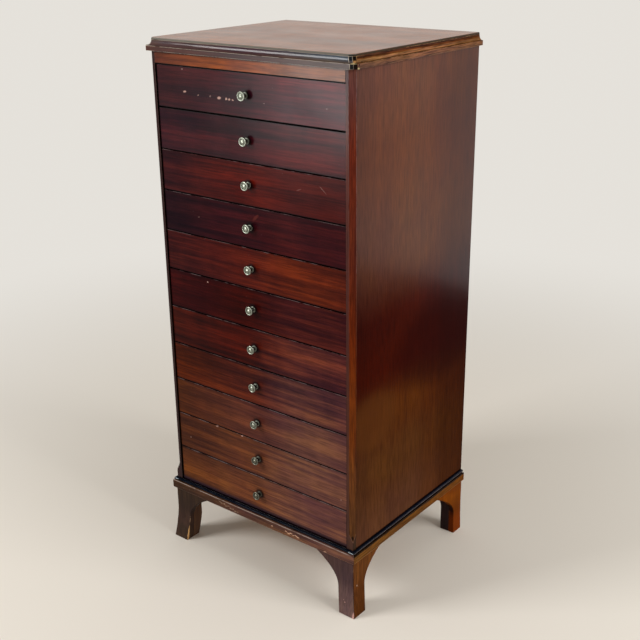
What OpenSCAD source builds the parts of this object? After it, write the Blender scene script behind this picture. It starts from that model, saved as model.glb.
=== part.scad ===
// Sheet music cabinet: a tall, narrow case of shallow side-hung drawers on splayed bracket feet.
// Millimetres. X runs to the right, Y to the back and Z up, and the front faces -Y.
// The origin is on the floor, in the middle of the whole footprint, knobs included.

/* [Carcass] */
// Width over the two side panels
carcass_w = 500; // [440:1:560]
// Depth from the face of the stiles to the back
carcass_d = 419; // [360:1:480]
// Height from the ledge of the base moulding to the underside of the top
body_h = 953; // [860:1:1050]
// Thickness of the side panels
side_t = 16; // [14:0.5:20]
// Height of the rail above the top drawer
rail_h = 23.5; // [18:0.5:32]
// Depth of the top rail and of the base rail, front to back
rail_d = 22; // [20:0.5:30]
// Thickness of the bottom board
bottom_t = 12; // [9:0.5:16]
// How deep the bottom board is housed in each side panel
housing_d = 5; // [3:0.5:7]
// Thickness of the back boards
back_t = 10; // [7:0.5:13]
// Width of the rebate in the side panels that takes the back boards
rebate_w = 8; // [5:0.5:10]
// Number of boards in the back
back_count = 3; // [2:1:5]
// Length of the tongues on the edges of the back boards
tongue_l = 4; // [2:0.5:6]
// Length of the tenons on the rails
tenon_l = 8; // [5:0.5:10]
// Thickness of the tenons on the rails
tenon_t = 7; // [5:0.5:8]
// Shoulder above and below those tenons
tenon_shoulder = 4; // [2:0.5:6]
// Play in the dry joints: mitres, back boards and the parts of a drawer box
joint_play = 0.1; // [0.05:0.05:0.3]

/* [Corner chamfer] */
// Size of the chamfer on the outer arris of each stile
chamfer = 9.7; // [6:0.1:12]
// Square land left between the chamfer and the joint behind the stile
stile_land = 0.8; // [0.5:0.1:3]
// Height of the point of the lamb's tongue above the ledge
stop_rise = 16; // [8:0.5:30]
// Height of the lamb's tongue itself
stop_l = 21; // [14:0.5:30]

/* [Top] */
// Thickness of the top
top_t = 24.5; // [22:0.5:32]
// Overhang of the fillet at the foot of the top moulding
fillet_out = 7.75; // [6:0.25:12]
// Height of that fillet
fillet_h = 9.5; // [6:0.5:11]
// Step between the fillet and the start of the cove
fillet_step = 1.2; // [0.6:0.1:2]
// How far the top of the cove lies behind the carcass face
cove_back = 0.5; // [0:0.1:2]
// Thickness of the lip of the board above the cove
lip_t = 3.6; // [3:0.1:5]
// Eased arris under that lip
lip_ease = 0.5; // [0.2:0.1:1]
// Depth of the rebate that seats the moulding, behind the carcass face
seat_d = 6; // [4:0.5:10]

/* [Base moulding] */
// Height of the base moulding and of the carcass behind it
base_h = 28; // [24:0.5:34]
// Height of the ebonised bead strip
bead_h = 6.5; // [5.5:0.25:8]
// Radius of the bead
bead_r = 2.75; // [2:0.05:2.75]
// How far the fascia stands out from the carcass
fascia_out = 8; // [6:0.25:12]
// Eased arris along the top of the fascia
fascia_ease = 0.6; // [0.3:0.1:1.5]
// Radius of the ovolo under the fascia
ovolo_r = 5.5; // [3:0.25:6]

/* [Feet] */
// Height of the feet
foot_h = 126.5; // [115:0.5:150]
// How far the feet stand out from the carcass at the top
foot_proud = 2.2; // [1:0.1:4]
// Thickness of the foot brackets at the top
foot_t = 12; // [9:0.5:16]
// How far a front foot splays outwards at the floor
front_flare = 8.2; // [3:0.1:9]
// How far a rear foot splays outwards at the floor
rear_flare = 2; // [0:0.1:6]
// Height at which the splay begins
flare_h = 78; // [60:1:90]
// Width of a front leg
front_leg_w = 39; // [33:0.5:46]
// Width of a rear leg, seen from the side
rear_leg_w = 31; // [28:0.5:40]
// Width of a rear leg, seen from the back
brace_leg_w = 34; // [28:0.5:40]
// Reach of the front wings from the corner of the carcass
front_wing = 97; // [80:1:120]
// Reach of the rear wings from the corner of the carcass
rear_wing = 112; // [80:1:125]
// Height of the knee where wing and leg meet
knee_h = 55; // [45:1:62]
// Slope of a wing's lower edge where it leaves the tip
wing_slope = 0.53; // [0.45:0.01:0.6]

/* [Drawers] */
// Number of drawers
drawer_count = 11; // [8:1:11]
// Gap between one drawer front and the next
drawer_gap = 2; // [1:0.1:3]
// Gap above the first front and below the last
edge_gap = 1.5; // [1:0.1:3]
// Gap between the ends of the drawers and the side panels
end_gap = 1; // [0.6:0.1:1.5]
// How far the drawer fronts lie behind the stiles
drawer_recess = 3; // [1:0.5:5]
// Thickness of the drawer fronts
front_t = 18; // [16:0.5:22]
// Eased arris round each drawer front
front_ease = 0.6; // [0.3:0.1:1.2]
// Thickness of the drawer sides
box_t = 12; // [11:0.5:14]
// How far the drawer sides stop below the top of the front
box_drop = 10; // [6:0.5:14]
// How far the drawer sides start above the foot of the front
box_rise = 6; // [3:0.5:9]
// Gap between the back of the drawers and the back boards
rear_gap = 4; // [2:0.5:12]
// Thickness of the drawer backs
box_back_t = 9; // [7:0.5:12]
// Length of drawer side behind the drawer back
box_tail = 6; // [3:0.5:12]
// How far the drawer backs stop below the drawer sides
back_drop = 3; // [1:0.5:8]
// Depth of the trench that takes the drawer back
trench_d = 2.5; // [1.5:0.25:3]
// Thickness of the drawer bottoms
panel_t = 5; // [4:0.5:6]
// Depth of the grooves that take the drawer bottom
groove_d = 4; // [3:0.5:5]
// Height of that groove above the foot of the drawer side
groove_rise = 7; // [5:0.5:9]

/* [Dovetails] */
// Number of tails on each drawer side
tail_count = 3; // [2:1:4]
// Wood of the front left over the ends of the tails
lap_t = 5; // [4:0.5:7]
// Narrow width of the pins between the tails
pin_w = 4; // [3:0.5:7]
// Widening of a tail over its length, to each side
tail_slope = 0.17; // [0.1:0.01:0.2]

/* [Runners] */
// How far a runner stands out from the side panel
runner_w = 7; // [5:0.25:7.25]
// Height of a runner
runner_h = 10; // [8:0.5:14]
// Height of a runner above the foot of the drawer side
runner_rise = 27; // [22:0.5:30]
// Running clearance above a runner
runner_play = 0.3; // [0.2:0.05:0.6]
// Running clearance below a runner and at its side
runner_slack = 0.5; // [0.3:0.05:0.8]
// Gap between a runner's front end and the end of its groove
stop_gap = 0.6; // [0.4:0.1:2]

/* [Knobs] */
// Diameter of the head of a knob
knob_d = 18.2; // [16:0.1:24]
// How far a knob stands out from its drawer front
knob_reach = 15; // [14:0.5:22]
// Diameter of the collar against the drawer front
collar_d = 12.5; // [10:0.1:14]
// Thickness of the collar at its edge
collar_t = 1.6; // [1:0.1:2.2]
// Diameter of the neck
neck_d = 6.6; // [5.6:0.1:8]
// Distance of the neck from the drawer front
neck_z = 4.4; // [3.6:0.1:5]
// Length of the neck
neck_l = 0.8; // [0.4:0.1:2]
// Width of the rim of the head
rim_w = 1.9; // [1.5:0.1:2.3]
// Thickness of the rim
rim_t = 2.6; // [2:0.1:3]
// Depth of the ring sunk inside the rim
ring_depth = 1.3; // [0.8:0.1:1.8]
// Diameter of the domed button in the middle of the head
button_d = 9.4; // [8:0.1:9.6]
// How far the button stands out past the rim
button_rise = 1; // [0.4:0.1:2]
// Diameter of the threaded shank
shank_d = 5; // [4:0.1:5.4]
// Length of shank left past the nut
shank_over = 3; // [1:0.5:6]
// Play of the shank in its hole, all round
shank_play = 0.15; // [0.1:0.05:0.5]
// Width of the nut across its flats
nut_w = 9; // [8.5:0.5:11]
// Thickness of the nut
nut_t = 4; // [3:0.5:5]

/* [Glue blocks] */
// Size of the three-cornered blocks under the top
block_w = 18; // [12:0.5:22]
// Length of those blocks
block_l = 55; // [40:1:70]
// Number of those blocks on each side
block_count = 3; // [2:1:4]

/* [Hidden] */
eps = 0.01;
arc_n = 8;
curve_n = 14;
$fn = 48;

// Heights of the carcass, from the floor up
ledge_z = foot_h + base_h;
top_z = ledge_z + body_h;
rail_z = top_z - rail_h;
bottom_z = ledge_z - bottom_t;

// Places across and along the carcass
half_w = carcass_w / 2;
inner_x = half_w - side_t;
front_y = (knob_reach - drawer_recess - carcass_d) / 2;
back_y = front_y + carcass_d;
back_in_y = back_y - back_t;
rail_back_y = front_y + rail_d;
stile_d = chamfer + stile_land;
block_pitch = (back_in_y - rail_back_y) / block_count;

// Drawer fronts share the opening between the ledge and the top rail
opening_h = rail_z - ledge_z;
front_h = (opening_h - 2 * edge_gap - (drawer_count - 1) * drawer_gap) / drawer_count;
front_w = 2 * (inner_x - end_gap);
face_y = front_y + drawer_recess;
face_back_y = face_y + front_t;

// Drawer boxes
box_out_x = inner_x - end_gap;
box_in_x = box_out_x - box_t;
box_end_y = back_in_y - rear_gap;
box_h = front_h - box_drop - box_rise;
box_back_y = box_end_y - box_tail - box_back_t;
tail_l = front_t - lap_t;
tail_pitch = box_h / tail_count;
tail_end = (tail_pitch - pin_w) / 2;
tail_root = tail_end - tail_l * tail_slope;
runner_y = face_back_y + stop_gap;
runner_reach = runner_w - end_gap + runner_slack;

// Foot of drawer front i, counted from the top
function front_z(i) = rail_z - edge_gap - i * front_h - (i - 1) * drawer_gap;
function box_z(i) = front_z(i) + box_rise;
function two(i) = str(i < 10 ? "0" : "", i);

// Points along an arc of an ellipse, from angle a to angle b
function arc(centre, rx, ry, a, b) = [
    for (i = [0:arc_n])
        let (t = a + (b - a) * i / arc_n)
            [centre[0] + rx * cos(t), centre[1] + ry * sin(t)]
];

// Points along a curve that leaves p towards q and arrives at r from q
function curve(p, q, r) = [
    for (i = [0:curve_n])
        let (t = i / curve_n)
            (1 - t) * (1 - t) * p + 2 * t * (1 - t) * q + t * t * r
];

// An outline drawn in Y and Z, pushed out along X from x
module along_x(x, length) {
    translate([x, 0, 0]) rotate([90, 0, 90]) linear_extrude(length) children();
}

// An outline drawn in X and Z, pushed out along Y from y
module along_y(y, length) {
    translate([0, y + length, 0]) rotate([90, 0, 0]) linear_extrude(length) children();
}

// Pieces are drawn on the right and mirrored for the left
module on_side(side) {
    if (side == "left") mirror([1, 0, 0]) children();
    else children();
}

// The part of a run in front of the mitres through the two front corners
module front_of_mitres(height) {
    linear_extrude(height)
        polygon([[0, front_y + half_w], [carcass_w, front_y - half_w], [-carcass_w, front_y - half_w]]);
}

// The part of a run to the right of the mitre through the right front corner
module right_of_mitre(height) {
    linear_extrude(height)
        polygon([
            [0, front_y + half_w + joint_play], [carcass_w, front_y - half_w + joint_play],
            [carcass_w, back_y + carcass_d], [0, back_y + carcass_d]
        ]);
}

// Solid with one edge worked to a profile of [outward, up] points, facing +X and running along Y
module worked_edge(profile) {
    reach = 2 * (carcass_w + carcass_d);
    along_y(-reach / 2, reach)
        polygon(concat([[-reach, profile[0][1]]], profile, [[-reach, profile[len(profile) - 1][1]]]));
}

// The same across the right front corner, as wide as the chamfer of the stile from the lip to the fillet
module worked_cant(profile) {
    translate([half_w - chamfer / 2, front_y + chamfer / 2, 0])
        rotate([0, 0, -45])
            worked_edge([for (p = profile) [sqrt(2) * p[0], p[1]]]);
}

// Slab of the carcass plan with the profile worked round its front and sides and its two canted corners
module canted_slab(profile) {
    reach = carcass_w + carcass_d;
    intersection() {
        translate([half_w, 0, 0]) worked_edge(profile);
        mirror([1, 0, 0]) translate([half_w, 0, 0]) worked_edge(profile);
        translate([0, front_y, 0]) rotate([0, 0, -90]) worked_edge(profile);
        worked_cant(profile);
        mirror([1, 0, 0]) worked_cant(profile);
        translate([-reach, back_y - 2 * reach, -eps]) cube([2 * reach, 2 * reach, top_z + reach]);
    }
}

// Top: one board with a rounded lip, rebated below it to seat the moulding
lip_r = lip_t - 2 * lip_ease;
lip_z = top_z + top_t - lip_t;
lip_profile = concat(
    [[-cove_back - lip_ease, lip_z], [-cove_back, lip_z + lip_ease]],
    arc([-cove_back - lip_r, top_z + top_t - lip_r], lip_r, lip_r, 0, 90)
);
seat_profile = [[-seat_d, top_z], [-seat_d, lip_z + lip_t / 2]];
moulding_profile = concat(
    [[fillet_out, top_z], [fillet_out, top_z + fillet_h]],
    arc(
        [fillet_out - fillet_step, lip_z],
        fillet_out - fillet_step + cove_back, lip_z - top_z - fillet_h,
        270, 180
    )
);

module top_board() {
    color("#6b3a26") union() {
        canted_slab(seat_profile);
        canted_slab(lip_profile);
    }
}

module top_moulding() {
    difference() {
        canted_slab(moulding_profile);
        canted_slab([[-seat_d, top_z - eps], [-seat_d, lip_z + eps]]);
    }
}

module top_moulding_front() {
    color("#3a1f1c") intersection() {
        top_moulding();
        front_of_mitres(2 * top_z);
    }
}

module top_moulding_end(side) {
    color("#6a3a1e") on_side(side) intersection() {
        top_moulding();
        right_of_mitre(2 * top_z);
    }
}

// Side panel: rebated for the back boards, housed for the bottom board and mortised for the rails
module side_panel(side) {
    color("#54302a") on_side(side) difference() {
        translate([inner_x, front_y + stile_d, foot_h])
            cube([side_t, carcass_d - stile_d, top_z - foot_h]);
        translate([inner_x - eps, back_in_y, foot_h - eps])
            cube([rebate_w + eps, back_t + eps, top_z - foot_h + 2 * eps]);
        translate([inner_x - eps, rail_back_y, bottom_z])
            cube([housing_d + eps, back_in_y - rail_back_y + eps, bottom_t]);
        rail_tenon(rail_z, rail_h);
        rail_tenon(foot_h, base_h);
    }
}

// Stile: chamfered on its outer arris, and the chamfer dies out in a lamb's tongue above the ledge
module front_stile(side) {
    color("#4a2c2a") on_side(side) difference() {
        translate([inner_x, front_y, foot_h]) cube([side_t, stile_d, top_z - foot_h]);
        stile_chamfer();
    }
}

// Waste of the chamfer, drawn as an outline in its outward direction and height
module stile_chamfer() {
    depth = chamfer / sqrt(2);
    stop_z = ledge_z + stop_rise;
    tongue = [
        for (i = [0:arc_n])
            let (t = i / arc_n)
                [depth * (1 - t * t * (3 - 2 * t)), stop_z + stop_l * t]
    ];
    translate([half_w - chamfer / 2, front_y + chamfer / 2, 0]) rotate([0, 0, -45])
        along_y(-2 * chamfer, 4 * chamfer)
            polygon(concat(tongue, [[0, top_z + eps], [2 * chamfer, top_z + eps], [2 * chamfer, stop_z]]));
}

// Tenon at the right end of a rail that starts at height z, in the middle of what lies behind the stile
module rail_tenon(z, height) {
    tenon_y = (front_y + stile_d + rail_back_y - tenon_t) / 2;
    translate([inner_x - eps, tenon_y, z + tenon_shoulder])
        cube([tenon_l + eps, tenon_t, height - 2 * tenon_shoulder]);
}

module rail(z, height) {
    translate([-inner_x, front_y, z]) cube([2 * inner_x, rail_d, height]);
    rail_tenon(z, height);
    mirror([1, 0, 0]) rail_tenon(z, height);
}

module top_rail() {
    color("#5f3320") rail(rail_z, rail_h);
}

module base_rail() {
    color("#4a2a20") rail(foot_h, base_h);
}

module bottom_board() {
    board_x = inner_x + housing_d;
    color("#8a6a48") translate([-board_x, rail_back_y, bottom_z])
        cube([2 * board_x, back_in_y - rail_back_y, bottom_t]);
}

// Back: upright boards, tongued and grooved together
module back_boards() {
    pitch = (2 * (inner_x + rebate_w) + joint_play) / back_count;
    tongue_t = back_t / 3;
    height = top_z - foot_h;
    color("#8a6a48") for (i = [0:back_count - 1])
        translate([-inner_x - rebate_w + i * pitch, back_in_y, foot_h]) difference() {
            union() {
                cube([pitch - joint_play, back_t, height]);
                if (i < back_count - 1)
                    translate([pitch / 2, tongue_t, 0]) cube([pitch / 2 + tongue_l, tongue_t, height]);
            }
            if (i > 0)
                translate([-eps, tongue_t - joint_play, -eps])
                    cube([tongue_l + 2 * joint_play, tongue_t + 2 * joint_play, height + 2 * eps]);
        }
}

// Runners: one strip for each drawer, fixed flat on the inside of a side panel
module drawer_runners(side) {
    color("#a5845a") on_side(side) for (i = [1:drawer_count])
        translate([inner_x - runner_w, runner_y, box_z(i) + runner_rise])
            cube([runner_w, back_in_y - runner_y, runner_h]);
}

// Glue blocks: three-cornered under the top, and an upright post inside each foot
module glue_blocks() {
    color("#a5845a") for (m = [0, 1]) mirror([m, 0, 0]) {
        for (i = [0:block_count - 1])
            along_y(rail_back_y + block_pitch * (i + 0.5) - block_l / 2, block_l)
                polygon([[inner_x, top_z], [inner_x, top_z - block_w], [inner_x - block_w, top_z]]);
        front_foot_post();
        rear_foot_post();
    }
}

// Base moulding: an ebonised bead over a brown fascia with an ovolo under it, mitred at the front
fascia_top_z = ledge_z - bead_h;
bead_profile = concat(
    [[0, fascia_top_z], [bead_r, fascia_top_z], [bead_r, ledge_z - 2 * bead_r]],
    arc([bead_r, ledge_z - bead_r], bead_r, bead_r, -90, 90),
    [[0, ledge_z]]
);
fascia_profile = concat(
    [[0, foot_h]],
    arc([fascia_out - ovolo_r, foot_h + ovolo_r], ovolo_r, ovolo_r, -90, 0),
    [[fascia_out, fascia_top_z - fascia_ease], [fascia_out - fascia_ease, fascia_top_z], [0, fascia_top_z]]
);

module front_run(profile) {
    reach = half_w + 2 * fascia_out;
    intersection() {
        translate([0, front_y, 0]) rotate([0, 0, -90]) along_y(-reach, 2 * reach) polygon(profile);
        front_of_mitres(2 * ledge_z);
    }
}

module side_run(profile) {
    start_y = front_y - 2 * fascia_out;
    intersection() {
        translate([half_w, 0, 0]) along_y(start_y, back_y - start_y) polygon(profile);
        right_of_mitre(2 * ledge_z);
    }
}

module base_bead() {
    color("#15100f") {
        front_run(bead_profile);
        side_run(bead_profile);
        mirror([1, 0, 0]) side_run(bead_profile);
    }
}

module base_moulding_front() {
    color("#6a3626") front_run(fascia_profile);
}

module base_moulding_end(side) {
    color("#7a4a22") on_side(side) side_run(fascia_profile);
}

// Feet: how far the face of a foot stands out from the carcass at height z
function splay(z, flare) = foot_proud + flare * pow(max(0, flare_h - z) / flare_h, 1.5);

// Outline of a bracket as [distance in from the corner of the carcass, height] points
function leg_edge(flare, leg_w) = [
    for (i = [0:arc_n])
        let (z = knee_h * (1 - i / arc_n))
            [leg_w - splay(z, flare), z]
];
function bracket_outline(flare, leg_w, wing) =
    let (knee = leg_w - splay(knee_h, flare))
    concat(
        curve([wing, foot_h], [knee, foot_h - wing_slope * (wing - knee)], [knee, knee_h]),
        leg_edge(flare, leg_w),
        [[-leg_w, 0], [-leg_w, foot_h]]
    );

// Section of a bracket as [outward, up] points: flat at the back and splayed on its face
function bracket_section(flare) = concat(
    [[foot_proud - foot_t, 0]],
    [
        for (i = [0:arc_n])
            let (z = flare_h * i / arc_n)
                [splay(z, flare), z]
    ],
    [[foot_proud, foot_h], [foot_proud - foot_t, foot_h]]
);

// The same outline seen from the other side
function flipped(points) = [for (p = points) [-p[0], p[1]]];
function shifted(points, by) = [for (p = points) [p[0] + by, p[1]]];

// Front foot: two splayed brackets, mitred together at the corner
module front_foot_face(side) {
    reach = 2 * front_wing;
    color("#4b3236") on_side(side) intersection() {
        along_y(front_y - reach, 2 * reach)
            polygon(shifted(flipped(bracket_outline(front_flare, front_leg_w, front_wing)), half_w));
        along_x(half_w - reach, 2 * reach)
            polygon(shifted(flipped(bracket_section(front_flare)), front_y));
        front_of_mitres(foot_h);
    }
}

module front_foot_side(side) {
    reach = 2 * front_wing;
    color("#6e4220") on_side(side) intersection() {
        along_x(half_w - reach, 2 * reach)
            polygon(shifted(bracket_outline(front_flare, front_leg_w, front_wing), front_y));
        along_y(front_y - reach, 2 * reach)
            polygon(shifted(bracket_section(front_flare), half_w));
        right_of_mitre(foot_h);
    }
}

// Rear foot: a side bracket that ends flush with the back, and a plain brace set inside it
module rear_foot_side(side) {
    reach = 2 * rear_wing;
    edge = [for (p = bracket_outline(0, rear_leg_w + foot_proud, rear_wing)) [max(0, p[0]), p[1]]];
    color("#6e4220") on_side(side) intersection() {
        along_x(half_w - reach, 2 * reach) polygon(shifted(flipped(edge), back_y));
        along_y(back_y - reach, 2 * reach) polygon(shifted(bracket_section(rear_flare), half_w));
    }
}

brace_y = back_y - rear_leg_w;
brace_x = half_w + foot_proud - foot_t;
module rear_foot_brace(side) {
    outline = bracket_outline(0, brace_leg_w, front_wing);
    color("#2a1d1c") on_side(side) along_y(brace_y, foot_t)
        polygon([for (p = outline) [min(brace_x, half_w - p[0]), p[1]]]);
}

// Posts behind the brackets, flush with the inner edges of the legs
module front_foot_post() {
    inner = half_w + foot_proud - foot_t;
    inner_y = front_y - foot_proud + foot_t;
    edge = leg_edge(front_flare, front_leg_w);
    depth = concat([[edge[0][0], foot_h]], edge);
    intersection() {
        along_y(inner_y, front_leg_w)
            polygon(concat([[inner, foot_h]], shifted(flipped(depth), half_w), [[inner, 0]]));
        along_x(inner - front_leg_w, front_leg_w)
            polygon(concat([[inner_y, foot_h]], shifted(depth, front_y), [[inner_y, 0]]));
    }
}

module rear_foot_post() {
    start_x = half_w + foot_proud - brace_leg_w;
    translate([start_x, brace_y + foot_t, 0])
        cube([brace_x - start_x, rear_leg_w - foot_t, foot_h]);
}

// Drawer front: eased arrises, sockets for the tails, a groove for the bottom and a hole for the knob
module drawer_front(i) {
    z = front_z(i);
    half = front_w / 2;
    e = front_ease;
    color("#5a2420") difference() {
        intersection() {
            translate([0, 0, z]) linear_extrude(front_h)
                polygon([
                    [-half, face_back_y], [-half, face_y + e], [-half + e, face_y],
                    [half - e, face_y], [half, face_y + e], [half, face_back_y]
                ]);
            along_x(-half, front_w)
                polygon([
                    [face_back_y, z], [face_y + e, z], [face_y, z + e],
                    [face_y, z + front_h - e], [face_y + e, z + front_h], [face_back_y, z + front_h]
                ]);
        }
        for (m = [0, 1]) mirror([m, 0, 0]) drawer_tails(i, box_in_x, box_t + eps);
        translate([-box_in_x, face_back_y - groove_d, box_z(i) + groove_rise])
            cube([2 * box_in_x, groove_d + eps, panel_t + 2 * joint_play]);
        knob_axis(i) cylinder(d = shank_d + 2 * shank_play, h = 3 * front_t, center = true);
    }
}

// Tails at the front of a drawer side, also the waste of their sockets
module drawer_tails(i, x, width) {
    for (k = [0:tail_count - 1]) {
        mid = box_z(i) + (k + 0.5) * tail_pitch;
        along_x(x, width)
            polygon([
                [face_back_y, mid - tail_root], [face_back_y - tail_l, mid - tail_end],
                [face_back_y - tail_l, mid + tail_end], [face_back_y, mid + tail_root]
            ]);
    }
}

// Drawer side: tails in front, a runner groove outside, a trench and a bottom groove inside
module drawer_side(i) {
    z = box_z(i);
    length = box_end_y - face_back_y;
    difference() {
        union() {
            translate([box_in_x, face_back_y, z]) cube([box_t, length, box_h]);
            drawer_tails(i, box_in_x, box_t);
        }
        translate([box_out_x - runner_reach, face_back_y, z + runner_rise - runner_slack])
            cube([runner_reach + eps, length + eps, runner_h + runner_slack + runner_play]);
        translate([box_in_x - eps, box_back_y, z + groove_rise])
            cube([trench_d + eps, box_back_t, box_h]);
        translate([box_in_x - eps, face_back_y - eps, z + groove_rise])
            cube([groove_d + eps, length + 2 * eps, panel_t + 2 * joint_play]);
    }
}

// Drawer box: two sides, a back between them, and a bottom that slides in under the back
module drawer_box(i) {
    z = box_z(i);
    panel_z = z + groove_rise + joint_play;
    back_z = panel_z + panel_t + joint_play;
    back_x = box_in_x + trench_d - joint_play;
    panel_x = box_in_x + groove_d - joint_play;
    lip_x = box_in_x - joint_play;
    color("#b08c5c") {
        drawer_side(i);
        mirror([1, 0, 0]) drawer_side(i);
        translate([-back_x, box_back_y + joint_play, back_z])
            cube([2 * back_x, box_back_t - 2 * joint_play, z + box_h - back_drop - back_z]);
        translate([-panel_x, face_back_y, panel_z])
            cube([2 * panel_x, box_back_y + box_back_t - face_back_y, panel_t]);
        translate([-lip_x, face_back_y - groove_d, panel_z])
            cube([2 * lip_x, 2 * groove_d, panel_t]);
    }
}

// Axis of a knob: children are drawn along +Z, which points out of the drawer front
module knob_axis(i) {
    translate([0, face_y, front_z(i) + front_h / 2]) rotate([90, 0, 0]) children();
}

// Knob: turned in one with its shank, with a rim, a sunk ring and a domed button
module drawer_knob(i) {
    head_r = knob_d / 2;
    head_z = neck_z + neck_l;
    rim_z = knob_reach - button_rise;
    ring_r = head_r - rim_w;
    shank_end = front_t + nut_t + shank_over;
    color("#b9b394") knob_axis(i) {
        rotate_extrude() polygon(concat(
            [[0, -shank_end], [shank_d / 2, -shank_end], [shank_d / 2, 0], [collar_d / 2, 0]],
            arc([collar_d / 2, neck_z], (collar_d - neck_d) / 2, neck_z - collar_t, 270, 180),
            arc([head_r, head_z], head_r - neck_d / 2, rim_z - rim_t - head_z, 180, 90),
            arc([head_r - rim_t / 2, rim_z - rim_t / 2], rim_t / 2, rim_t / 2, 0, 90),
            [[ring_r, rim_z], [ring_r - ring_depth / 2, rim_z - ring_depth]],
            arc([0, rim_z - ring_depth], button_d / 2, ring_depth + button_rise, 0, 90)
        ));
        translate([0, 0, -front_t - nut_t]) difference() {
            cylinder(d = nut_w / cos(30), h = nut_t, $fn = 6);
            translate([0, 0, -eps]) cylinder(d = shank_d + 2 * shank_play, h = nut_t + 2 * eps);
        }
    }
}

top_board();
top_moulding_front();
top_moulding_end("left");  // top_moulding_left
top_moulding_end("right");  // top_moulding_right
side_panel("left");  // side_panel_left
side_panel("right");  // side_panel_right
front_stile("left");  // front_stile_left
front_stile("right");  // front_stile_right
top_rail();
base_rail();
bottom_board();
back_boards();
drawer_runners("left");  // drawer_runners_left
drawer_runners("right");  // drawer_runners_right
glue_blocks();
base_bead();
base_moulding_front();
base_moulding_end("left");  // base_moulding_left
base_moulding_end("right");  // base_moulding_right
front_foot_face("left");  // foot_front_left_face
front_foot_side("left");  // foot_front_left_side
front_foot_face("right");  // foot_front_right_face
front_foot_side("right");  // foot_front_right_side
rear_foot_side("left");  // foot_rear_left_side
rear_foot_brace("left");  // foot_rear_left_brace
rear_foot_side("right");  // foot_rear_right_side
rear_foot_brace("right");  // foot_rear_right_brace
for (i = [1:drawer_count]) {
    drawer_front(i);
    drawer_box(i);
    drawer_knob(i);
}
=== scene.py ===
# The looks of a sheet music cabinet: old polished mahogany, an ebonised bead and turned brass knobs.
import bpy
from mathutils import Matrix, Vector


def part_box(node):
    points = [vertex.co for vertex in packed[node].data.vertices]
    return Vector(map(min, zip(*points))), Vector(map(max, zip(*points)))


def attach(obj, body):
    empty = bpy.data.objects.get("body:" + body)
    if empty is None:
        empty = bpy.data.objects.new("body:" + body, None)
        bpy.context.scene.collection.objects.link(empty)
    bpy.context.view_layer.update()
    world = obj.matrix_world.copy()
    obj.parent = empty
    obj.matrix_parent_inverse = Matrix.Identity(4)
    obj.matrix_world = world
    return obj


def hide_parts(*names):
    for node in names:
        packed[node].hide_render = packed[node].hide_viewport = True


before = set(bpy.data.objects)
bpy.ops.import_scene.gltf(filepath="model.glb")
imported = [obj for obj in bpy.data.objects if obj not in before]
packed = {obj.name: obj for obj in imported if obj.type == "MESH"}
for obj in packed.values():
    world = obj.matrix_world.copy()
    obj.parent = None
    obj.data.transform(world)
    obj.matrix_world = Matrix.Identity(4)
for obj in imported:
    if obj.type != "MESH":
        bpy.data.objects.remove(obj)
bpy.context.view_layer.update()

import math
import bmesh
import bpy
from mathutils import Matrix, Vector

# ---- Side panels ----
# Each side is one wide panel veneered in mahogany with its grain upright, polished with shellac. The polish
# has crazed and worn thin along the arrises. The panel is housed for the bottom board and rebated for the back.


def paint(red, green, blue):
    """A colour written as it shows, from 0 to 255, as the shader takes it."""
    shown = [channel / 255 for channel in (red, green, blue)]
    return [c / 12.92 if c < 0.04045 else ((c + 0.055) / 1.055) ** 2.4 for c in shown] + [1.0]


def node(tree, kind, inputs, **settings):
    """One node. An input is given by its name or number, as a value or as another node's socket."""
    made = tree.nodes.new(kind)
    for name, value in settings.items():
        setattr(made, name, value)
    for name, value in inputs.items():
        if isinstance(value, bpy.types.NodeSocket):
            tree.links.new(value, made.inputs[name])
        else:
            made.inputs[name].default_value = value
    return made


def shade(tree, kind, inputs, **settings):
    """One shader node."""
    return node(tree, "ShaderNode" + kind, inputs, **settings)


def work(tree, how, first, second, third=0.0):
    """Arithmetic on two or three values."""
    return shade(tree, "Math", {0: first, 1: second, 2: third}, operation=how).outputs[0]


def ease(tree, value, low, high, at_low=0.0, at_high=1.0):
    """Carries value from low..high onto at_low..at_high, with soft ends."""
    return shade(tree, "MapRange", {0: value, 1: low, 2: high, 3: at_low, 4: at_high},
                 interpolation_type="SMOOTHSTEP").outputs[0]


def lay(tree, share, under, over, how="MIX"):
    """Lays one colour over another by share."""
    return shade(tree, "Mix", {0: share, 6: under, 7: over}, data_type="RGBA", blend_type=how).outputs[2]


def figure(tree, axis, along, across, seed, detail, twist):
    """The wood's figure: cloudy noise drawn out along the grain, along and across in streaks per metre."""
    stretch = [across, across, across]
    stretch["XYZ".index(axis)] = along
    place = shade(tree, "TexCoord", {}).outputs["Object"]
    drawn = shade(tree, "Mapping", {"Vector": place, "Location": (seed, 1.7 * seed, 2.3 * seed), "Scale": stretch})
    return shade(tree, "TexNoise", {"Vector": drawn.outputs[0], "Scale": 1.0, "Detail": detail,
                                    "Roughness": 0.6, "Distortion": twist}).outputs[0]


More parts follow.
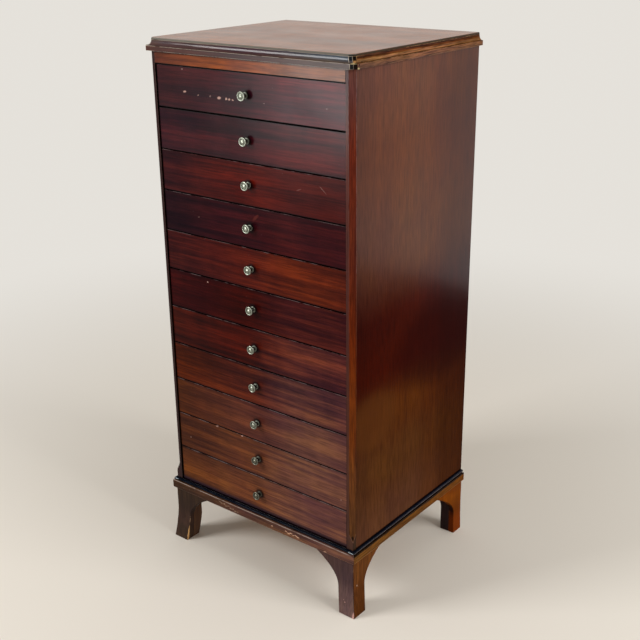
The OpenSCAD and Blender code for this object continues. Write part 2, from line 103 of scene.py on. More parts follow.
def marks_mask(tree, patches):
    """Small ragged patches, each as its middle, its half sizes in metres and its turn in degrees about Y."""
    place = shade(tree, "TexCoord", {}).outputs["Object"]
    ragged = shade(tree, "TexNoise", {"Vector": place, "Scale": 420.0, "Detail": 2.0}).outputs["Color"]
    offset = shade(tree, "VectorMath", {0: ragged, 1: (0.5, 0.5, 0.5)}, operation="SUBTRACT").outputs[0]
    small = shade(tree, "VectorMath", {0: offset, "Scale": 0.004}, operation="SCALE").outputs[0]
    point = shade(tree, "VectorMath", {0: place, 1: small}, operation="ADD").outputs[0]
    mask = 0.0
    for middle, halves, turn in patches:
        near = shade(tree, "VectorMath", {0: point, 1: middle}, operation="SUBTRACT").outputs[0]
        near = shade(tree, "VectorRotate", {"Vector": near, "Angle": math.radians(turn)},
                     rotation_type="Y_AXIS").outputs[0]
        even = shade(tree, "VectorMath", {0: near, 1: [1 / half for half in halves]}, operation="MULTIPLY").outputs[0]
        far = shade(tree, "VectorMath", {0: even}, operation="LENGTH").outputs["Value"]
        mask = work(tree, "MAXIMUM", ease(tree, far, 0.6, 1.1, 1.0, 0.0), mask)
    return mask


def toned(tree, axis, stops, wander=0.0):
    """A colour that changes along an axis of the piece, from stops of position in metres and colour.

    wander is how far, in metres, the change strays to either side."""
    place = shade(tree, "TexCoord", {}).outputs["Object"]
    spot = shade(tree, "SeparateXYZ", {0: place}).outputs["XYZ".index(axis)]
    drift = shade(tree, "TexNoise", {"Vector": place, "Scale": 7.0, "Detail": 3.0}).outputs[0]
    spot = work(tree, "MULTIPLY_ADD", work(tree, "SUBTRACT", drift, 0.5), wander, spot)
    low, high = stops[0][0], stops[-1][0]
    blend = shade(tree, "ValToRGB", {"Fac": shade(tree, "MapRange", {0: spot, 1: low, 2: high}).outputs[0]})
    blend.color_ramp.interpolation = "EASE"
    for k, (where, colour) in enumerate(stops):
        if 0 < k < len(stops) - 1:
            stop = blend.color_ramp.elements.new((where - low) / (high - low))
        else:
            stop = blend.color_ramp.elements[0 if k == 0 else -1]
        stop.color = paint(*colour)
    return blend.outputs[0]


def polished_wood(name, axis, body, seed, ribbon=1.0, fine=0.3, cloudy=1.0, rough=0.25, level=0.05, tint=None,
                  worn=(150, 118, 108), wear=0.4, patch=(0.42, 0.62), grime_and_shade=(14, 7, 8), dirt=0.6, specks=0.4,
                  marks=(), crackle=0.0, facing=(), gloss_drift=0.14, dull=None):
    """Old polished mahogany with its grain along axis. body is one colour, or as tint an axis, stops and wander.

    ribbon, fine and cloudy are the strengths of the stripes, the pores and the clouds, and rough and level are the
    shader's roughness and specular level. The arrises show the worn colour by wear, in patches, and the grime colour
    by dirt between them; on arrises marked dark it is laid on fully, as dirt and, along gaps, as painted shade. Each
    mark is a colour, its share and its patches. Each facing is an axis, signed for one side alone, or XY for a cant,
    then how squarely a face turns to it from and to, the share from and to, and the colour laid on; facings carry
    painted shade and painted reflections as well as own colour. dull is the height where the gloss ends, going down,
    and the roughness under it."""
    finish = bpy.data.materials.new(name)
    finish.use_nodes = True
    tree = finish.node_tree
    skin = tree.nodes["Principled BSDF"]
    place = shade(tree, "TexCoord", {}).outputs["Object"]

    broad = figure(tree, axis, 1.3, 34.0, seed, 3.0, 0.12)
    narrow = figure(tree, axis, 3.0, 105.0, seed + 3.1, 3.0, 0.08)
    thread = figure(tree, axis, 24.0, 430.0, seed + 5.3, 3.0, 0.05)
    cross = figure(tree, axis, 24.0, 9.0, seed + 7.9, 2.0, 0.3)
    cloud = shade(tree, "TexNoise", {"Vector": place, "Scale": 6.0, "Detail": 3.0}).outputs[0]
    stripes = work(tree, "MULTIPLY_ADD", narrow, 0.44, work(tree, "MULTIPLY", broad, 0.46))
    stripes = work(tree, "MULTIPLY_ADD", cross, 0.1, stripes)
    lift = work(tree, "MULTIPLY_ADD", work(tree, "SUBTRACT", ease(tree, stripes, 0.34, 0.66), 0.5), ribbon, 0.5)
    ramp = shade(tree, "ValToRGB", {"Fac": lift})
    ramp.color_ramp.elements[0].color = (0.36, 0.36, 0.72, 1.0)
    ramp.color_ramp.elements[1].color = (1.9, 1.95, 1.3, 1.0)
    ramp.color_ramp.elements.new(0.5).color = (1.0, 1.0, 1.0, 1.0)
    wood = toned(tree, *body) if isinstance(body[0], str) else paint(*body)
    wood = lay(tree, 1.0, wood, ramp.outputs[0], "MULTIPLY")
    if tint:
        wood = lay(tree, 1.0, wood, toned(tree, *tint), "MULTIPLY")
    wood = lay(tree, 1.0, wood, shade(tree, "CombineColor", {
        0: ease(tree, cloud, 0.3, 0.7, 1.0 - 0.14 * cloudy, 1.0 + 0.14 * cloudy),
        1: ease(tree, cloud, 0.3, 0.7, 1.0 - 0.2 * cloudy, 1.0 + 0.2 * cloudy), 2: 1.0}).outputs[0], "MULTIPLY")
    lines = ease(tree, thread, 0.35, 0.62, 1.0 - fine, 1.0 + 0.5 * fine)
    wood = lay(tree, 1.0, wood, shade(tree, "CombineColor", {0: lines, 1: lines, 2: lines}).outputs[0], "MULTIPLY")

    square = shade(tree, "SeparateXYZ", {0: shade(tree, "NewGeometry", {}).outputs["Normal"]}).outputs
    for way, low, high, at_low, at_high, colour in facing:
        toward = work(tree, "MULTIPLY", square["X"], square["Y"]) if way == "XY" else square[way[-1]]
        if way[0] in "+-":
            toward = work(tree, "MULTIPLY", toward, 1.0 if way[0] == "+" else -1.0)
        else:
            toward = work(tree, "ABSOLUTE", toward, 0.0)
        wood = lay(tree, ease(tree, toward, low, high, at_low, at_high), wood, paint(*colour))
    arris = shade(tree, "Attribute", {}, attribute_name="arris").outputs["Fac"]
    crown = work(tree, "MAXIMUM", arris, 0.0)
    patchy = shade(tree, "TexNoise", {"Vector": place, "Scale": 34.0, "Detail": 4.0, "Roughness": 0.65}).outputs[0]
    rubbed = work(tree, "MULTIPLY", crown, ease(tree, patchy, patch[0], patch[1], 0.0, wear))
    # The grime colour goes on in patches as dirt, and fully on arrises marked dark, where along gaps it is painted
    # shade.
    dirt_and_shade = work(tree, "MULTIPLY", crown, ease(tree, patchy, patch[0] - 0.12, patch[0] + 0.08, dirt, 0.0))
    dirt_and_shade = work(tree, "MAXIMUM", dirt_and_shade, work(tree, "MULTIPLY", arris, -0.95))
    wood = lay(tree, dirt_and_shade, wood, paint(*grime_and_shade))
    wood = lay(tree, rubbed, wood, paint(*worn))
    dots = shade(tree, "TexVoronoi", {"Vector": place, "Scale": 95.0, "Randomness": 1.0}).outputs["Distance"]
    dotted = ease(tree, dots, 0.035, 0.06, 1.0, 0.0)
    somewhere = ease(tree, shade(tree, "TexNoise", {"Vector": place, "Scale": 9.0, "Detail": 2.0}).outputs[0],
                     0.58, 0.66)
    wood = lay(tree, work(tree, "MULTIPLY", work(tree, "MULTIPLY", dotted, somewhere), specks), wood, paint(*worn))
    for colour, share, patches in marks:
        wood = lay(tree, work(tree, "MULTIPLY", marks_mask(tree, patches), share), wood, paint(*colour))
    tree.links.new(wood, skin.inputs["Base Color"])

    haze = shade(tree, "TexNoise", {"Vector": place, "Scale": 14.0, "Detail": 4.0}).outputs[0]
    gloss = work(tree, "MULTIPLY_ADD", work(tree, "SUBTRACT", haze, 0.5), gloss_drift, rough)
    gloss = work(tree, "MULTIPLY_ADD", rubbed, 0.15, gloss)
    if dull:
        height = shade(tree, "SeparateXYZ", {0: place}).outputs["Z"]
        gloss = work(tree, "ADD", gloss, ease(tree, height, dull[0] - 0.0008, dull[0], dull[1] - rough, 0.0))
    tree.links.new(gloss, skin.inputs["Roughness"])
    skin.inputs["Specular IOR Level"].default_value = level
    ripple = shade(tree, "TexNoise", {"Vector": place, "Scale": 160.0, "Detail": 2.0}).outputs[0]
    relief = work(tree, "MULTIPLY_ADD", thread, 0.5, work(tree, "MULTIPLY", ripple, 0.25))
    if crackle:
        cells = shade(tree, "TexVoronoi", {"Vector": place, "Scale": 230.0}, feature="DISTANCE_TO_EDGE").outputs[0]
        relief = work(tree, "ADD", relief, ease(tree, cells, 0.0, 0.1, -crackle, 0.0))
    bump = shade(tree, "Bump", {"Height": relief, "Strength": 0.2, "Distance": 0.0004})
    tree.links.new(bump.outputs[0], skin.inputs["Normal"])
    return finish


def dress(part, body, finish, width=0.0005, band=0.0014, over=1.0, under=1.0):
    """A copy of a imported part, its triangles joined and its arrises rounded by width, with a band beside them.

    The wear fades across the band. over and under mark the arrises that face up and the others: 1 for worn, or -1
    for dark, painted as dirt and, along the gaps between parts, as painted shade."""
    flat, arris_turn, sharp = math.radians(0.4), math.radians(28), math.radians(36)
    shape = bmesh.new()
    shape.from_mesh(packed[part].data)
    bmesh.ops.remove_doubles(shape, verts=shape.verts, dist=2e-5)
    bmesh.ops.dissolve_limit(shape, angle_limit=flat, verts=shape.verts, edges=shape.edges)
    arrises = [e for e in shape.edges if e.is_manifold and e.is_convex and e.calc_face_angle() > arris_turn]
    eased = bmesh.ops.bevel(shape, geom=arrises, offset=width, segments=3, profile=0.5, affect="EDGES",
                            clamp_overlap=True)["faces"]
    marked = shape.verts.layers.float.new("arris")
    worn = {}
    for f in eased:
        f.normal_update()
        for v in f.verts:
            share = over if f.normal.z > 0.2 else under
            worn[v] = max(worn.get(v, share), share)
    for v, share in worn.items():
        v[marked] = share
    eased = set(eased)
    broad = [f for f in shape.faces if f not in eased
             and f.calc_area() > 1.1 * band * sum(e.calc_length() for e in f.edges)]
    bmesh.ops.inset_region(shape, faces=broad, thickness=band, use_boundary=True, use_even_offset=True)
    for f in broad:
        for v in f.verts:
            v[marked] = 0.0
    for f in shape.faces:
        f.smooth = True
    for e in shape.edges:
        e.smooth = not (e.is_manifold and e.calc_face_angle() > sharp)
    mesh = bpy.data.meshes.new(part + "_wood")
    shape.to_mesh(mesh)
    shape.free()
    piece = bpy.data.objects.new(mesh.name, mesh)
    bpy.context.scene.collection.objects.link(piece)
    level_off = piece.modifiers.new("even shading", "WEIGHTED_NORMAL")
    level_off.keep_sharp = True
    finished = bpy.data.meshes.new_from_object(piece.evaluated_get(bpy.context.evaluated_depsgraph_get()))
    piece.modifiers.remove(level_off)
    piece.data = finished
    finished.materials.clear()
    finished.materials.append(finish)
    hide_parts(part)
    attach(piece, body)


# The colours up the side are partly painted reflection: the dark band from about 0.42 to 0.62 m and the dark mark
# round 0.52 m stand for a dark reflection, and the golden patch near the front round 0.42 m is a painted reflection
# of the floor. The near-black band just above the bead is painted shade.
side_polish = polished_wood(
    "side panel polish", "Z",
    ("Z", [(0.15, (92, 56, 36)), (0.30, (84, 48, 20)), (0.42, (79, 37, 9)), (0.52, (64, 12, 0)), (0.62, (59, 11, 2)),
           (0.76, (89, 50, 30)), (0.95, (87, 42, 18)), (1.1, (96, 54, 37))], 0.04),
    seed=1.3, ribbon=0.16, fine=0.24, cloudy=0.9, rough=0.15, level=0.008, worn=(104, 64, 40), wear=0.35, dirt=0.9,
    specks=0.15, crackle=0.3, gloss_drift=0.08,
    tint=("Y", [(-0.19, (222, 218, 236)), (-0.13, (250, 246, 248)), (0.0, (255, 255, 240)), (0.08, (236, 218, 180)),
                (0.14, (204, 176, 112)), (0.2, (190, 156, 90))], 0.04),
    marks=[((34, 0, 0), 0.62, [((0.0, 0.10, 0.52), (2.0, 0.19, 0.11), 0)]),
           ((96, 56, 20), 0.35, [((0.0, -0.14, 0.42), (2.0, 0.10, 0.07), 0)]),
           ((12, 5, 4), 0.95, [((0.0, 0.0, 0.1540), (5.0, 5.0, 0.0040), 0)])])
for hand in ("left", "right"):
    dress("side_panel_" + hand, "carcass", side_polish, band=0.001)

# ---- Front stiles ----
# Two upright mahogany strips are glued to the front edges of the sides. Each is chamfered on its outer corner,
# and the chamfer dies out in a lamb's tongue just above the bead. The polish is thickest and reddest here.
stile_polish = polished_wood(
    "stile polish", "Z",
    ("Z", [(0.15, (60, 36, 23)), (0.22, (80, 46, 27)), (0.30, (96, 54, 24)), (0.42, (98, 45, 9)), (0.62, (92, 32, 4)),
           (0.8, (86, 33, 19)), (0.95, (91, 32, 19)), (1.09, (87, 50, 49))], 0.05),
    seed=4.2, ribbon=0.7, fine=0.3, rough=0.2, level=0.05, worn=(128, 98, 90), wear=0.5, patch=(0.34, 0.56),
    dirt=0.8,
    tint=("X", [(-0.25, (74, 96, 90)), (-0.2, (74, 96, 90)), (0.2, (255, 255, 255)), (0.25, (255, 255, 255))]),
    facing=[("Y", 0.85, 0.95, 0.0, 0.6, (64, 44, 44))],
    # The dark marks at the foot of each chamfer, where it dies into the lamb's tongue, and just above the bead are
    # painted shade.
    marks=[((12, 6, 5), 0.9,
            [((0.2470 * way, -0.2005, 0.180), (0.0028, 0.0028, 0.012), 0) for way in (1, -1)]
            + [((0.2420 * way, -0.2000, 0.1535), (0.0120, 0.0120, 0.0036), 0) for way in (1, -1)])])
for hand in ("left", "right"):
    dress("front_stile_" + hand, "carcass", stile_polish, width=0.0004, band=0.0006, under=-0.65)

# ---- Rails ----
# The rail over the top drawer is a length of straight-grained mahogany tenoned between the sides, redder than
# the drawers. The base rail behind the moulding is of the same wood and is seen only with the drawers out.
# The rail's top and underside faces, its arrises and a band along its top under the moulding are painted near black:
# painted shade where it meets the moulding and the drawers.
rail_polish = polished_wood(
    "rail polish", "X", ("X", [(-0.24, (90, 42, 28)), (-0.02, (118, 55, 22)), (0.24, (130, 71, 30))], 0.05),
    seed=7.7, ribbon=0.6, fine=0.3, rough=0.22, level=0.12, worn=(170, 128, 112), wear=0.5, patch=(0.4, 0.6),
    grime_and_shade=(8, 5, 6), facing=[("Z", 0.7, 0.9, 0.0, 0.97, (6, 7, 14))],
    marks=[((26, 13, 10), 0.9, [((0.0, -0.2035, 1.1078), (5.0, 0.02, 0.0030), 0)])])
dress("top_rail", "carcass", rail_polish, band=0.001, over=-1.0, under=-1.0)
dress("base_rail", "carcass", rail_polish, band=0.001, over=-1.0, under=-1.0)

# ---- Bottom and back ----
# The bottom board is housed between the sides, and three upright back boards, tongued together, are nailed
# into rebates. All are of bare pine that has browned with age, with growth rings showing as stripes.


def bare_wood(name, axis, pale, deep, seed, stain=0.3, seams=()):
    """Bare softwood, browned and dusty, with its grain along axis. seams are where boards meet, across X."""
    finish = bpy.data.materials.new(name)
    finish.use_nodes = True
    tree = finish.node_tree
    skin = tree.nodes["Principled BSDF"]
    rings = figure(tree, axis, 1.6, 55.0, seed, 5.0, 0.8)
    fibre = figure(tree, axis, 12.0, 500.0, seed + 2.0, 3.0, 0.1)
    wood = lay(tree, ease(tree, rings, 0.35, 0.68), paint(*pale), paint(*deep))
    lines = ease(tree, fibre, 0.3, 0.7, 0.82, 1.08)
    wood = lay(tree, 1.0, wood, shade(tree, "CombineColor", {0: lines, 1: lines, 2: lines}).outputs[0], "MULTIPLY")
    place = shade(tree, "TexCoord", {}).outputs["Object"]
    dirt = shade(tree, "TexNoise", {"Vector": place, "Scale": 7.0, "Detail": 5.0}).outputs[0]
    arris = shade(tree, "Attribute", {}, attribute_name="arris").outputs["Fac"]
    wood = lay(tree, work(tree, "ADD", ease(tree, dirt, 0.45, 0.75, 0.0, stain), work(tree, "MULTIPLY", arris, 0.25)),
               wood, paint(58, 38, 24))
    for seam in seams:
        across = shade(tree, "SeparateXYZ", {0: place}).outputs["X"]
        aside = work(tree, "ABSOLUTE", work(tree, "SUBTRACT", across, seam), 0.0)
        wood = lay(tree, ease(tree, aside, 0.0007, 0.0016, 0.85, 0.0), wood, paint(30, 20, 13))
    tree.links.new(wood, skin.inputs["Base Color"])
    tree.links.new(ease(tree, fibre, 0.3, 0.7, 0.72, 0.86), skin.inputs["Roughness"])
    skin.inputs["Specular IOR Level"].default_value = 0.25
    bump = shade(tree, "Bump", {"Height": fibre, "Strength": 0.35, "Distance": 0.0005})
    tree.links.new(bump.outputs[0], skin.inputs["Normal"])
    return finish


back_pine = bare_wood("back pine", "Z", (154, 116, 76), (128, 88, 54), seed=2.5, seams=(-0.0807, 0.0807))
bottom_pine = bare_wood("bottom pine", "X", (160, 122, 80), (126, 88, 52), seed=6.5)
dress("back_boards", "carcass", back_pine)
dress("bottom_board", "carcass", bottom_pine)


def nail_rows():
    """Rows of flat nail heads on a lattice, each a little out of place and turned as it was driven."""
    tree = bpy.data.node_groups.new("nail rows", "GeometryNodeTree")
    sizes = {label: tree.interface.new_socket(name=label, in_out="INPUT", socket_type="NodeSocket" + kind).identifier
             for label, kind in (("Width", "Float"), ("Height", "Float"), ("Columns", "Int"), ("Rows", "Int"),
                                 ("Head", "Float"), ("Iron", "Material"))}
    tree.interface.new_socket(name="Nails", in_out="OUTPUT", socket_type="NodeSocketGeometry")
    given = tree.nodes.new("NodeGroupInput").outputs
    lattice = node(tree, "GeometryNodeMeshGrid", {"Size X": given["Width"], "Size Y": given["Height"],
                                                  "Vertices X": given["Columns"], "Vertices Y": given["Rows"]})
    astray = node(tree, "FunctionNodeRandomValue", {0: (-0.003, -0.004, 0.0), 1: (0.003, 0.004, 0.0), "Seed": 5},
                  data_type="FLOAT_VECTOR")
    driven = node(tree, "GeometryNodeSetPosition", {"Geometry": lattice.outputs["Mesh"], "Offset": astray.outputs[0]})
    head = node(tree, "GeometryNodeMeshCone", {"Vertices": 10, "Radius Top": 0.0014, "Radius Bottom": given["Head"],
                                               "Depth": 0.0007})
    turn = node(tree, "FunctionNodeRandomValue", {0: (-0.1, -0.1, -3.0), 1: (0.1, 0.1, 3.0), "Seed": 9},
                data_type="FLOAT_VECTOR")
    heads = node(tree, "GeometryNodeInstanceOnPoints", {
        "Points": driven.outputs[0], "Instance": head.outputs["Mesh"], "Rotation": turn.outputs[0]})
    whole = node(tree, "GeometryNodeRealizeInstances", {"Geometry": heads.outputs[0]})
    coated = node(tree, "GeometryNodeSetMaterial", {"Geometry": whole.outputs[0], "Material": given["Iron"]})
    tree.links.new(coated.outputs[0], tree.nodes.new("NodeGroupOutput").inputs[0])
    return tree, sizes


iron = bpy.data.materials.new("rusty iron")
iron.use_nodes = True
tree = iron.node_tree
skin = tree.nodes["Principled BSDF"]
place = shade(tree, "TexCoord", {}).outputs["Object"]
rust = shade(tree, "TexNoise", {"Vector": place, "Scale": 260.0, "Detail": 3.0}).outputs[0]
rusted = lay(tree, ease(tree, rust, 0.4, 0.6), paint(58, 50, 46), paint(104, 62, 40))
tree.links.new(rusted, skin.inputs["Base Color"])
tree.links.new(ease(tree, rust, 0.4, 0.6, 0.5, 0.8), skin.inputs["Roughness"])
skin.inputs["Metallic"].default_value = 0.6

# One lattice runs along the top and bottom edges, and one down the two sides. Each is how wide and how tall it is,
# its columns and rows, and the height of its middle.
nail_lattices = [(0.4, 0.938, 6, 2, 0.6235), (0.4766, 0.66, 2, 6, 0.63)]
nail_y, nail_radius = 0.2152, 0.0026
nails, nail_sizes = nail_rows()
all_nails = bmesh.new()
for wide, tall, columns, rows, middle in nail_lattices:
    driven = bpy.data.objects.new("nail row", bpy.data.meshes.new("nail row"))
    bpy.context.scene.collection.objects.link(driven)
    drive = driven.modifiers.new("drive", "NODES")
    drive.node_group = nails
    for label, value in (("Width", wide), ("Height", tall), ("Columns", columns), ("Rows", rows),
                         ("Head", nail_radius), ("Iron", iron)):
        drive[nail_sizes[label]] = value
    row = bpy.data.meshes.new_from_object(driven.evaluated_get(bpy.context.evaluated_depsgraph_get()))
    row.transform(Matrix.Translation((0.0, nail_y, middle)) @ Matrix.Rotation(-math.pi / 2, 4, "X"))
    all_nails.from_mesh(row)
    bpy.data.objects.remove(driven)
mesh = bpy.data.meshes.new("back_nails")
all_nails.to_mesh(mesh)
all_nails.free()
mesh.materials.append(iron)
back_nails = bpy.data.objects.new(mesh.name, mesh)
bpy.context.scene.collection.objects.link(back_nails)
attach(back_nails, "carcass")

# ---- Runners and glue blocks ----
# Each drawer hangs on a pair of narrow beech runners fixed flat inside the sides, waxed dark where the drawer
# rubs. Three-cornered glue blocks hold the top, and an upright post stands in each foot.
runner_beech = bare_wood("runner beech", "Y", (152, 112, 74), (118, 80, 50), seed=9.1, stain=0.5)
block_pine = bare_wood("block pine", "Z", (104, 70, 44), (76, 46, 28), seed=12.4, stain=0.7)
for hand in ("left", "right"):
    packed["drawer_runners_" + hand].data.materials.clear()
    packed["drawer_runners_" + hand].data.materials.append(runner_beech)
packed["glue_blocks"].data.materials.clear()
packed["glue_blocks"].data.materials.append(block_pine)

# ---- Top board ----
# The top is one mahogany board with a rounded lip and canted front corners, french polished. It has two short
# cracks. Under its top face the lip is painted nearly black, darkest at the cants and dark brown at the sides; in
# front it is painted a flat pale grey, a painted reflection, and the gloss is taken off the whole lip. Its back is
# bare.
top_polish = polished_wood(
    "top polish", "X", (131, 65, 14), seed=14.2, ribbon=0.65, fine=0.4, rough=0.21, level=0.26, worn=(60, 36, 26),
    wear=0.0, grime_and_shade=(10, 7, 8), dirt=0.12, patch=(0.9, 1.0), specks=0.4, dull=(1.1318, 1.0),
    marks=[((52, 24, 12), 0.7, [((-0.2124, -0.0769, 1.132), (0.016, 0.0014, 0.01), 0),
                                ((-0.06, 0.02, 1.132), (0.03, 0.0011, 0.01), 0)])],
    # The flat pale grey laid on the front of the lip is a painted reflection.
    facing=[("Z", 0.8, 0.985, 0.92, 0.0, (20, 18, 12)), ("-Y", 0.17, 0.4, 0.0, 0.9, (124, 119, 110)),
            ("X", 0.5, 0.8, 0.0, 0.9, (58, 40, 14)), ("XY", 0.2, 0.4, 0.0, 0.9, (10, 12, 12)),
            ("+Y", 0.5, 0.8, 0.0, 0.95, (96, 62, 38))])
dress("top_board", "carcass", top_polish, width=0.0004, band=0.001)

# ---- Top mouldings ----
# Three lengths of mahogany moulding are glued under the lip and mitred at the two cants. Each has a square
# fillet below and a cove above. The side lengths are paler and streaky, with small dark chips.
dark_cant = ("XY", 0.2, 0.4, 0.0, 0.94, (5, 9, 11))
pale_wood = (200, 182, 132)
rubbed_mitres = [((0.2529 * way, -0.2064, 1.1176), (0.0062, 0.0062, 0.0017), 0) for way in (1, -1)]
front_moulding_polish = polished_wood(
    "front moulding polish", "X", ("X", [(-0.25, (83, 61, 61)), (0.0, (62, 38, 50)), (0.25, (73, 77, 91))]),
    seed=17.3, ribbon=0.7, fine=0.3, rough=0.09, level=0.16, worn=(188, 174, 158), wear=0.85, patch=(0.28, 0.5),
    dirt=0.9, grime_and_shade=(8, 7, 10), gloss_drift=0.04, dull=(1.1168, 0.32), facing=[dark_cant],
    tint=("Z", [(1.108, (190, 126, 108)), (1.1165, (190, 126, 108)), (1.1175, (240, 180, 140)),
                (1.120, (250, 225, 215)), (1.1225, (255, 255, 255)), (1.129, (225, 240, 255))]),
    marks=[(pale_wood, 0.85, rubbed_mitres)])
side_moulding_polish = polished_wood(
    "side moulding polish", "Y", ("Y", [(-0.2, (134, 95, 70)), (0.0, (156, 106, 72)), (0.16, (142, 94, 60))]),
    seed=21.8, ribbon=1.0, fine=0.6, rough=0.24, level=0.003, worn=(190, 152, 104), wear=0.6, specks=0.9,
    grime_and_shade=(30, 16, 10), dirt=0.9, facing=[dark_cant],
    tint=("Z", [(1.108, (188, 182, 196)), (1.1160, (190, 182, 194)), (1.1172, (140, 118, 96)),
                (1.1186, (250, 250, 245)), (1.1210, (250, 250, 240)), (1.1232, (180, 148, 118)),
                (1.1258, (132, 112, 110)), (1.1285, (128, 110, 112))]),
    marks=[((10, 7, 7), 0.95, [((0.256, -0.1965, 1.1145), (0.004, 0.0022, 0.0022), 0),
                               ((0.255, -0.184, 1.1180), (0.004, 0.0026, 0.0014), 0),
                               ((0.252, -0.172, 1.1240), (0.004, 0.0040, 0.0012), 0)]),
           (pale_wood, 0.85, [((0.256, -0.1985, 1.1090), (0.004, 0.0036, 0.0020), 0)] + rubbed_mitres)])
dress("top_moulding_front", "carcass", front_moulding_polish, width=0.0003, band=0.00035)
for hand in ("left", "right"):
    dress("top_moulding_" + hand, "carcass", side_moulding_polish, width=0.0003, band=0.00035)

# ---- Base moulding and bead ----
# A fascia with an ovolo runs round the front and sides, mitred at the front corners, and carries a round bead
# stained black like ebony. The fascia's front edge is chipped and scratched from years of feet.

# Where the chips and scratches of the front fascia are, as x and height.
chips = [(0.080, 0.1395), (0.087, 0.1372), (0.093, 0.1398), (0.100, 0.1374), (0.106, 0.1388), (0.112, 0.1372),
         (0.041, 0.138), (0.184, 0.131)]
scratches = [(-0.112, 0.1425), (-0.106, 0.1402), (-0.098, 0.1412), (-0.092, 0.1378), (-0.085, 0.1398),
             (-0.079, 0.1362), (-0.072, 0.1372), (-0.066, 0.1345), (-0.058, 0.1350)]
fascia_y = -0.212
# The pale worn colour along the front fascia's upper arris is wear and, in part, a painted highlight.
fascia_front_polish = polished_wood(
    "front fascia polish", "X", ("X", [(-0.24, (63, 39, 26)), (0.0, (88, 56, 44)), (0.24, (106, 69, 60))], 0.05),
    seed=25.1, ribbon=0.8, fine=0.4, rough=0.3, level=0.05, worn=(178, 162, 154), wear=0.75, patch=(0.30, 0.52),
    specks=0.9,
    marks=[((222, 176, 146), 0.9, [((x, fascia_y, z), (0.0030 + 0.0010 * (k % 3), 0.02, 0.0012), 9 * (k % 4) - 12)
                                   for k, (x, z) in enumerate(chips)]),
           ((176, 146, 126), 0.8, [((x, fascia_y, z), (0.0036 + 0.0008 * (k % 2), 0.02, 0.0008), 8 * (k % 4) - 14)
                                   for k, (x, z) in enumerate(scratches)])])
# The dark band along the top of the side fascia, just under the bead, is painted shade.
fascia_side_polish = polished_wood(
    "side fascia polish", "Y", ("Y", [(-0.2, (106, 66, 28)), (0.0, (97, 58, 18)), (0.2, (108, 61, 4))], 0.05),
    seed=28.6, ribbon=0.6, fine=0.4, rough=0.28, level=0.02, worn=(146, 104, 66), wear=0.4,
    marks=[((12, 6, 4), 0.92, [((0.0, 0.0, 0.1482), (5.0, 5.0, 0.0034), 0)])])
dress("base_moulding_front", "carcass", fascia_front_polish, band=0.0004, under=-0.6)
for hand in ("left", "right"):
    dress("base_moulding_" + hand, "carcass", fascia_side_polish, band=0.0004, under=-0.6)
# The pale line along the middle of the bead on each side and the pale glint at each front corner are painted
# highlights.
ebonised = polished_wood(
    "ebonised bead", "X", (7, 13, 26), seed=31.0, ribbon=0.4, fine=0.2, rough=0.06, level=0.014, worn=(70, 62, 66),
    wear=0.1, specks=0.1, gloss_drift=0.02,
    marks=[((128, 120, 122), 0.6, [((0.2555 * way, 0.0, 0.1514), (0.004, 2.0, 0.0008), 0) for way in (1, -1)]),
           ((190, 204, 214), 0.9, [((0.2480 * way, -0.2085, 0.1520), (0.0072, 0.006, 0.0009), 0)
                                   for way in (1, -1)])])
dress("base_bead", "carcass", ebonised, width=0.0003, band=0.0006)

# ---- Feet ----
# Each foot is sawn from mahogany to a curved bracket that flares out to the floor, two mitred together in
# front, and one with a brace behind. The polish is worn at the toes, and the left front toe has split.
front_foot_polish = polished_wood(
    "front foot polish", "Z", ("X", [(-0.25, (74, 55, 42)), (-0.2, (74, 55, 42)), (0.2, (109, 84, 84)),
                                     (0.25, (109, 84, 84))]),
    seed=35.5, ribbon=0.3, fine=0.25, rough=0.32, level=0.06, worn=(150, 116, 96), wear=0.5, patch=(0.56, 0.7),
    specks=0.9,
    tint=("Z", [(0.0, (255, 250, 250)), (0.045, (226, 218, 226)), (0.085, (172, 162, 176)), (0.125, (172, 160, 168))],
          0.01),
    marks=[((208, 160, 150), 0.8, [((0.2575, -0.211, 0.006), (0.0035, 0.02, 0.010), -8),
                                   ((0.2334, -0.212, 0.0284), (0.0012, 0.02, 0.0012), 0),
                                   ((0.2300, -0.212, 0.0330), (0.0010, 0.02, 0.0014), 0)]),
           ((44, 35, 29), 0.5, [((-0.236, -0.212, 0.016), (0.020, 0.02, 0.024), 0)]),
           ((150, 120, 94), 0.8, [((-0.2146, -0.2072, 0.056), (0.0010, 0.0020, 0.013), -6)]),
           ((214, 166, 108), 0.95, [((-0.2186, -0.2112, 0.021), (0.0017, 0.0040, 0.029), -7)]),
           ((14, 8, 6), 0.8, [((-0.2202, -0.2110, 0.030), (0.0008, 0.0030, 0.024), -7)])])
# Faces of the side brackets that turn to the front or back are painted near black, as painted shade.
side_foot_polish = polished_wood(
    "side foot polish", "Z", ("Z", [(0.0, (105, 48, 16)), (0.05, (114, 53, 20)), (0.1, (133, 66, 27))], 0.02),
    seed=38.9, ribbon=0.35, fine=0.3, rough=0.3, level=0.01, worn=(150, 106, 70), wear=0.5, patch=(0.56, 0.7),
    specks=0.8,
    tint=("Y", [(-0.21, (196, 225, 255)), (-0.1, (196, 225, 255)), (0.1, (240, 245, 70)), (0.21, (240, 245, 70))]),
    facing=[("Y", 0.6, 0.85, 0.0, 0.92, (32, 17, 15))],
    marks=[((214, 190, 170), 0.9, [((0.2535, -0.1935, 0.068), (0.02, 0.0016, 0.0018), 0)]),
           ((72, 28, 8), 0.9, [((0.2402 * way, -0.187, 0.04), (0.004, 0.03, 0.06), 0) for way in (-1, 1)]),
           ((132, 56, 10), 0.55, [((0.0, 0.2, 0.0), (2.0, 0.06, 0.06), 0)]),
           ((104, 48, 8), 0.5, [((0.0, 0.2, 0.13), (2.0, 0.06, 0.03), 0)])])
